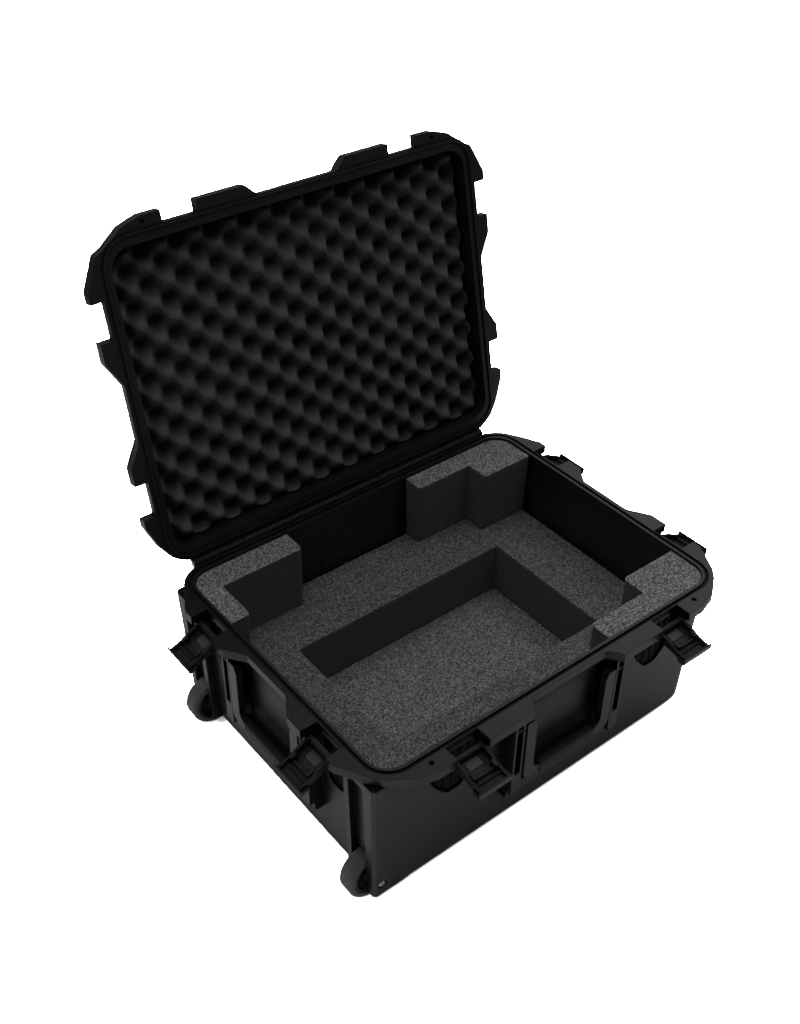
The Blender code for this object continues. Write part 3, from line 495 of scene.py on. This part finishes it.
def egg_height(x, y):
    """Height of the wavy face, which looks down while the lid is closed."""
    # The lattice wanders a little, as in a hand-cut sheet.
    wander_x = x + 0.9 * np.sin(y / 61.0 + 0.7) + 0.6 * np.sin(x / 43.0 + y / 87.0)
    wander_y = y + 0.8 * np.sin(x / 71.0 + 1.9) + 0.5 * np.sin(y / 37.0 - x / 95.0)
    phase_x = 2 * pi * (wander_x - EGG_X) / EGG_PITCH_X
    phase_y = 2 * pi * (wander_y - EGG_Y) / EGG_PITCH_Y
    lattice = np.cos(phase_x) * np.cos(phase_y)     # +1 in the valleys, -1 on the peaks
    swell = 1.0 + 0.06 * np.sin(x / 53.0 + 2.0) * np.cos(y / 47.0)
    shaped = np.where(lattice > 0, np.abs(lattice) ** 1.05, -np.abs(lattice) ** 0.85)
    z = (EGG_PEAK + EGG_VALLEY) / 2 + (EGG_VALLEY - EGG_PEAK) / 2 * shaped * swell
    return np.clip(z, EGG_LOWEST, EGG_HIGHEST)


def egg_crate():
    """A closed sheet with a wavy face and flat back, drawn in the closed lid, then turned open."""
    nx, ny = int(2 * EGG_HALF_X / EGG_STEP), int(2 * EGG_HALF_Y / EGG_STEP)
    x, y = np.meshgrid(np.linspace(-EGG_HALF_X, EGG_HALF_X, nx + 1),
                       np.linspace(-EGG_HALF_Y, EGG_HALF_Y, ny + 1), indexing="ij")
    x, y = inside_rounded(x, y, EGG_HALF_X, EGG_HALF_Y, EGG_CORNER)
    z = egg_height(x, y)
    shape = bmesh.new()
    grid = [[shape.verts.new((x[i, j], y[i, j], z[i, j])) for j in range(ny + 1)]
            for i in range(nx + 1)]
    for i in range(nx):
        for j in range(ny):
            shape.faces.new((grid[i][j], grid[i][j + 1], grid[i + 1][j + 1], grid[i + 1][j]))
    edge = ([grid[i][0] for i in range(nx)] + [grid[nx][j] for j in range(ny)]
            + [grid[i][ny] for i in range(nx, 0, -1)] + [grid[0][j] for j in range(ny, 0, -1)])
    previous = edge
    for level in (0.5, 1.0):
        shrink = 1 - EGG_SIDE_TAPER * level
        ring = [shape.verts.new((vert.co.x * shrink, vert.co.y * shrink,
                                 vert.co.z + (EGG_BACK - vert.co.z) * level)) for vert in edge]
        band(shape, previous, ring)
        previous = ring
    shape.faces.new(list(reversed(previous)))
    # The points pulled onto the rounded corners partly coincide.
    bmesh.ops.remove_doubles(shape, verts=shape.verts[:], dist=0.02)
    bmesh.ops.dissolve_degenerate(shape, dist=0.01, edges=shape.edges[:])
    face_outwards(shape)
    add_piece("egg_crate_foam", shape, "lid", "convoluted_foam", placement=TO_OPEN,
              shading=SMOOTH_WIDE, replaces="lid_foam")


egg_crate()


# ---------------------------------------------------------------- hollows beside the latches
# Per side: distance of the wall from the middle, near and far ends of a hollow, turn about Z.
HOLLOW_SIDES = {
    "front": (219.0, -46.0, 46.0, 0),
    "left": (286.5, -24.0, 36.0, -90),
}
# Label, side, centre of the hollow along the wall.
HOLLOWS = (
    ("front_left", "front", -174.0),
    ("front_right", "front", 174.0),
    ("left_front", "left", 126.0),
    ("left_back", "left", -119.5),
)
WALL_LEAN, WALL_HEIGHT = 7.0, 222.0         # the wall leans in this far over this height
HOLLOW_TOP, HOLLOW_HEIGHT = -22.0, 77.0     # heights are measured from the rim
HOLLOW_DEPTH, HOLLOW_DEPTH_LOSS = 9.5, 6.5  # depth at the top, and how much is lost lower down
HOLLOW_FLAT = 0.16                          # share of the half width with a level bottom edge
FIN_PITCH, FIN_HALF = 13.0, 0.9


def painted_shade_lining(label, side, centre):
    """Near-black sheet on the floor of a hollow, and the upright fins standing on it; painted
    shade that makes the shallow hollow look like a deep, shadowed pocket.
    """
    wall, near, far, turn = HOLLOW_SIDES[side]
    outward = 1 if centre > 0 else -1
    shape = bmesh.new()

    def offset_at(z, share):
        """Offset from the wall's rim line at a share of the hollow's depth."""
        loss = HOLLOW_DEPTH_LOSS * (z - HOLLOW_TOP) / -HOLLOW_HEIGHT
        return WALL_LEAN * z / WALL_HEIGHT - share * (HOLLOW_DEPTH - loss)

    def bottom_at(x):
        """Bottom edge of the hollow, from its rounded outline."""
        across = abs(x) / (far if x > 0 else -near)
        rounding = max(0.0, (across - HOLLOW_FLAT) / (1 - HOLLOW_FLAT))
        return -97.5 + 50.0 * rounding ** 1.35

    def slab(outline, outer_share, raised):
        """Closed prism over an x, z outline, from just under the floor to a depth share."""
        loops = [[shape.verts.new((centre + outward * x, -(wall + offset_at(z, share) + extra),
                                   RIM + z)) for x, z in outline]
                 for share, extra in ((1.0, -0.2), (outer_share, raised))]
        band(shape, *loops)
        for loop in loops:
            shape.faces.new(loop)

    slab([(near + 0.3, -22.3), (near + 0.3, -46.1), (near * 0.66 + 0.2, -75.8), (-14.9, -93.7),
          (-8, -98.6), (8, -98.6), (14.9, -93.7), (far * 0.66 - 0.2, -75.8),
          (far - 0.3, -46.1), (far - 0.3, -22.3)], outer_share=1.0, raised=0.35)
    x = near + 8.0
    while x < far - 5.0:
        low = max(bottom_at(x - 1.0), bottom_at(x + 1.0)) + 1.5
        slab([(x - FIN_HALF, -22.7), (x - FIN_HALF, low), (x + FIN_HALF, low),
              (x + FIN_HALF, -22.7)], outer_share=0.72, raised=0.0)
        x += FIN_PITCH
    face_outwards(shape)
    shape.transform(Matrix.Rotation(radians(turn), 4, 'Z'))
    # Painted shade: the sheet and fins are near-black so the hollow looks deep.
    add_piece("hollow_shade_ribs_" + label, shape, "base", "shell", look="pocket")


for label, side, centre in HOLLOWS:
    painted_shade_lining(label, side, centre)


# ---------------------------------------------------------------- wheels
TYRE_RADIUS = 36.6
SHOULDER_RADIUS = 4.5
# Half profiles as (radius, distance from the wheel's middle plane).
TYRE_SIDE = [(28.2, 12.3), (29.0, 12.5)]
TYRE_SHOULDER = [(TYRE_RADIUS - SHOULDER_RADIUS + SHOULDER_RADIUS * cos(radians(angle)),
                  8.0 + SHOULDER_RADIUS * sin(radians(angle))) for angle in (90, 70, 50, 30, 10)]
TYRE_TREAD = [(TYRE_RADIUS, 6.2), (36.1, 5.6), (36.1, 5.0), (TYRE_RADIUS, 4.4),
              (TYRE_RADIUS, 0.9), (36.2, 0.4)]
HUB_HALF = [(4.7, 12.4), (5.3, 12.5), (10.4, 12.5), (11.2, 12.1), (11.9, 10.2), (12.8, 9.3),
            (17.0, 9.0), (21.4, 9.1), (22.8, 9.9), (23.6, 11.2), (24.4, 11.6), (26.9, 11.6),
            (27.6, 11.0), (27.7, 10.2)]
# Whole profile as (radius, distance outwards from the wheel's middle plane).
AXLE_END = [(1.5, 26.15), (1.5, 28.7), (2.4, 29.5), (3.6, 29.3), (4.7, 28.3), (5.0, 27.2),
            (5.0, 26.15)]


def mirrored(half):
    return half + [(radius, -height) for radius, height in reversed(half)]


def ring_solid(name, profile, placement, body, slot, segments=96, replaces=None):
    """A closed (radius, height) profile turned about local Z."""
    shape = bmesh.new()
    rows = []
    for k in range(segments):
        angle = 2 * pi * k / segments
        rows.append([shape.verts.new((radius * cos(angle), radius * sin(angle), height))
                     for radius, height in profile])
    for k in range(segments):
        band(shape, rows[k], rows[(k + 1) % segments], across_first=True)
    face_outwards(shape)
    add_piece(name, shape, body, slot, placement=placement, shading=SMOOTH, replaces=replaces)


for word, tilt in (("front", 90), ("back", -90)):
    axle_at = Vector(JOINTS["wheel_%s_spin" % word]["pos_m"])
    placement = Matrix.Translation(axle_at) @ Matrix.Rotation(radians(tilt), 4, 'X')
    ring_solid("tyre_" + word, mirrored(TYRE_SIDE + TYRE_SHOULDER + TYRE_TREAD), placement,
               "wheel_" + word, "wheel_tyre", replaces="wheel_tyre_" + word)
    ring_solid("hub_" + word, mirrored(HUB_HALF), placement,
               "wheel_" + word, "fittings", replaces="wheel_hub_" + word)
    # Domed, socketed end of the axle bolt, outside the wheel.
    ring_solid("axle_end_" + word, AXLE_END, placement, "base", "steel", segments=48)


# ---------------------------------------------------------------- handle grips
GRIP_HALF_LENGTH, GRIP_STEP = 48.4, 0.8
GRIP_DROP = 90.75                           # axis below the handle's pivot
GRIP_HALF_Y, GRIP_HALF_Z, GRIP_CORNER = 6.1, 9.65, 4.2
BORE_HALF_Y, BORE_HALF_Z, BORE_CORNER = 3.8, 6.6, 0.8
GRIP_END = 2.0                              # length of the rounding at each end
GRIP_END_SHRINK = 1.4
RIB_DEPTH, RIB_PITCH, RIB_MARGIN = 0.35, 4.4, 6


def rounded_rect(half_x, half_y, corner, steps=5):
    points = []
    for side_x, side_y, start in ((1, -1, -90), (1, 1, 0), (-1, 1, 90), (-1, -1, 180)):
        for i in range(steps + 1):
            angle = radians(start + 90.0 * i / steps)
            points.append((side_x * (half_x - corner) + corner * cos(angle),
                           side_y * (half_y - corner) + corner * sin(angle)))
    return points


def ribbed_grip(side, turn):
    """Soft sleeve round a handle's bar, finely ribbed, with rounded ends and an open bore."""
    shape = bmesh.new()

    def section(x, half_y, half_z, corner):
        return [shape.verts.new((x, y, -GRIP_DROP + z))
                for y, z in rounded_rect(half_y, half_z, corner)]

    outer, bore = [], []
    length = GRIP_HALF_LENGTH
    count = int(2 * length / GRIP_STEP)
    for k in range(count + 1):
        x = -length + 2 * length * k / count
        end = max(0.0, abs(x) - (length - GRIP_END)) / GRIP_END
        rib = 0.0
        if abs(x) < length - RIB_MARGIN:
            rib = RIB_DEPTH * (0.5 + 0.5 * cos(2 * pi * x / RIB_PITCH))
        shrink = GRIP_END_SHRINK * (1 - sqrt(max(0.0, 1 - end * end))) + rib
        outer.append(section(x, GRIP_HALF_Y - shrink, GRIP_HALF_Z - shrink, GRIP_CORNER - shrink))
        if k in (0, count):
            bore.append(section(x, BORE_HALF_Y, BORE_HALF_Z, BORE_CORNER))
    for first, second in zip(outer, outer[1:]):
        band(shape, first, second)
    band(shape, outer[0], bore[0], across_first=True)
    band(shape, outer[-1], bore[1], across_first=True)
    band(shape, bore[0], bore[1], across_first=True)
    face_outwards(shape)
    pivot = Vector(JOINTS["handle_%s_lift" % side]["pos_m"])
    add_piece("ribbed_grip_" + side, shape, "handle_" + side, "soft_grip",
              placement=Matrix.Translation(pivot) @ Matrix.Rotation(radians(turn), 4, 'Z'),
              shading=SMOOTH_WIDE, replaces="handle_grip_" + side)


for side, turn in (("front", 0), ("left", -90), ("right", 90)):
    ribbed_grip(side, turn)


# ---------------------------------------------------------------- sawn foam in the base
CUT_CELL = 9.0                          # spacing of the cuts that let a face waver
CUT_DEPTH = 0.30                        # how far the waver cuts in
WALL_X, WALL_Y = 252, 190               # block corners beyond these stay square
# CAD node, seed of its waviness, its material.
SAWN_BLOCKS = (
    ("foam_floor", 0.4, "foam_pocket"),
    ("foam_tray", 1.7, "foam_tray"),
    ("foam_block_left_back", 2.9, None),
    ("foam_block_back_right", 4.1, None),
    ("foam_block_front_right", 5.6, None),
)


def wave(x, y, z, seed):
    """Slow waviness of a sawn face, about -1 to 1."""
    return (sin(x / 17.0 + seed) * sin(y / 23.0 + 1.3 * seed)
            + 0.6 * sin(x / 9.0 - y / 11.0 + seed) * cos(z / 13.0 + seed)
            + 0.4 * sin(y / 6.5 + z / 8.0 + 2.0 * seed)) / 2.0


def round_edges(shape, edges, offset, segments):
    bmesh.ops.bevel(shape, geom=edges, offset=offset, segments=segments, profile=0.5,
                    affect='EDGES', clamp_overlap=True)


def is_open_corner(edge):
    """An upright convex edge away from the case's walls."""
    start = edge.verts[0].co
    run = edge.verts[1].co - start
    return (abs(run.z) > 60 and abs(run.z) > 0.97 * run.length
            and abs(start.x) < WALL_X and abs(start.y) < WALL_Y
            and edge.is_convex and edge.calc_face_angle(0.0) > radians(50))


def sawn_foam(node_name, seed, look):
    """The CAD block with softened edges and faces that are not quite flat."""
    shape = bmesh.new()
    shape.from_mesh(NODES[node_name].data)
    shape.transform(NODES[node_name].matrix_world)
    shape.transform(Matrix.Scale(1 / MM, 4))
    bmesh.ops.remove_doubles(shape, verts=shape.verts[:], dist=0.01)
    bmesh.ops.dissolve_limit(shape, angle_limit=radians(0.6), verts=shape.verts[:],
                             edges=shape.edges[:])
    if node_name.startswith("foam_block"):
        corners = [edge for edge in shape.edges if is_open_corner(edge)]
        round_edges(shape, corners, offset=6.5, segments=4)
    sharp = [edge for edge in shape.edges if edge.calc_face_angle(0.0) > radians(50)]
    round_edges(shape, sharp, offset=1.1, segments=2)
    bmesh.ops.triangulate(shape, faces=[face for face in shape.faces if len(face.verts) > 3])
    low = [min(vert.co[k] for vert in shape.verts) for k in range(3)]
    high = [max(vert.co[k] for vert in shape.verts) for k in range(3)]
    for k in range(3):
        at = low[k] + CUT_CELL / 2
        while at < high[k] - CUT_CELL / 4:
            point, normal = Vector((0, 0, 0)), Vector((0, 0, 0))
            point[k], normal[k] = at, 1.0
            bmesh.ops.bisect_plane(shape, geom=shape.verts[:] + shape.edges[:] + shape.faces[:],
                                   plane_co=point, plane_no=normal, dist=0.01)
            at += CUT_CELL
    face_outwards(shape)
    shape.normal_update()
    for vert in shape.verts:
        vert.co = vert.co - vert.normal * CUT_DEPTH * (0.9 + wave(*vert.co, seed))
    add_piece("cut_" + node_name, shape, "base", "foam", shading=SMOOTH, look=look,
              replaces=node_name)


for node_name, seed, look in SAWN_BLOCKS:
    sawn_foam(node_name, seed, look)


# ---------------------------------------------------------------- floor, light, camera
def floor_material():
    """White to the camera; to other rays grey, with a soft glow left of the case."""
    tree = material_tree("studio_sweep")
    camera_ray = tree.node("ShaderNodeLightPath").outputs["Is Camera Ray"]
    place = tree.coords()
    distance = tree.vector_math('LENGTH', {0: place})

    def fade(stops):
        """Tone by distance from the middle; a position of 1 is 4 m out."""
        return tree.ramp(tree.math('DIVIDE', distance, 4.0), stops, 'EASE')

    seen = tree.node("ShaderNodeBsdfDiffuse", Color=(30.0, 30.0, 30.0)).outputs[0]
    grey = fade([(0.16, (0.62, 0.62, 0.62)), (0.42, (0.26, 0.26, 0.26))])
    lit = tree.node("ShaderNodeBsdfDiffuse", Color=grey).outputs[0]
    # The glow starts at the case's left wall and fades out to the left; positions in metres.
    leftward = tree.scaled(tree.node("ShaderNodeSeparateXYZ", Vector=place).outputs["X"], by=-1.0)
    strip = tree.ramp(leftward, [(0.285, 0.0), (0.300, 1.0), (0.38, 1.0), (0.50, 0.15)])
    glow = tree.scaled(tree.math('MULTIPLY', strip, fade([(0.12, 1.0), (0.30, 0.0)])), by=0.13)
    card = tree.node("ShaderNodeEmission", Color=(1.0, 1.0, 1.0), Strength=glow).outputs[0]
    both = tree.indexed("ShaderNodeAddShader", {}, {0: lit, 1: card}).outputs[0]
    return tree.finish(tree.mix_shaders(camera_ray, both, seen))


def floor():
    material = floor_material()
    shape = bmesh.new()
    bmesh.ops.create_circle(shape, cap_ends=True, segments=96, radius=30.0)
    mesh = bpy.data.meshes.new("studio_floor")
    shape.to_mesh(mesh)
    shape.free()
    obj = bpy.data.objects.new("studio_floor", mesh)
    obj.location.z = -0.0006
    SCENE.collection.objects.link(obj)
    mesh.materials.append(material)


# A lit backdrop behind and to the right, low enough to be mirrored by the rim
# but not by the latch plates.
BACKDROP_TOWARDS = (0.661, 0.429, 0.616)
# Cosine of the angle from the backdrop's middle, brightness.
BACKDROP = ((0.0, 0.07), (0.60, 0.14), (0.952, 0.14), (0.990, 1.15))


def world():
    """White to the camera, a dim room with one bright patch to other rays."""
    SCENE.world = bpy.data.worlds.new("studio")
    tree = Tree(SCENE.world, "ShaderNodeOutputWorld")
    towards = tree.node("ShaderNodeTexCoord").outputs["Generated"]
    facing = tree.vector_math('DOT_PRODUCT',
                              {0: towards, 1: Vector(BACKDROP_TOWARDS).normalized()})
    bluish = 1.015
    tone = tree.ramp(facing, [(at, (level, level, level * bluish)) for at, level in BACKDROP],
                     'EASE')
    room = tree.node("ShaderNodeBackground", Color=tone, Strength=1.0).outputs[0]
    white = tree.node("ShaderNodeBackground", Color=(1, 1, 1), Strength=1.1).outputs[0]
    camera_ray = tree.node("ShaderNodeLightPath").outputs["Is Camera Ray"]
    tree.finish(tree.mix_shaders(camera_ray, room, white))


def top_softbox():
    """A broad light overhead, hidden from the camera and from reflections."""
    location, target = Vector((0.1, 0.55, 2.3)), Vector((0, 0.1, 0.2))
    data = bpy.data.lights.new("top_softbox", 'AREA')
    data.shape = 'RECTANGLE'
    data.size = data.size_y = 3.4
    data.energy = 72.0
    obj = bpy.data.objects.new("top_softbox", data)
    obj.location = location
    obj.rotation_euler = (target - location).to_track_quat('-Z', 'Y').to_euler()
    SCENE.collection.objects.link(obj)
    obj.visible_camera = False
    obj.visible_glossy = False


def camera():
    """Looks down on the case from in front and to its left."""
    data = bpy.data.cameras.new("camera")
    obj = bpy.data.objects.new("camera", data)
    SCENE.collection.objects.link(obj)
    data.sensor_width = 36.0
    data.lens = 43.36
    data.shift_x = -0.00146
    data.shift_y = -0.0255
    data.clip_end = 100.0
    location = (-0.84255, -0.93071, 1.33007)
    right = Vector((0.78213, -0.62299, 0.01216))
    up = Vector((0.36619, 0.47535, 0.79997))
    ahead = Vector((0.50415, 0.62123, -0.59992))
    basis = Matrix((right, up, -ahead)).transposed().to_4x4()
    obj.matrix_world = Matrix.Translation(location) @ basis
    SCENE.camera = obj


floor()
world()
top_softbox()
camera()
SCENE.view_settings.view_transform = 'Standard'
SCENE.view_settings.look = 'None'
SCENE.view_settings.exposure = 0.0
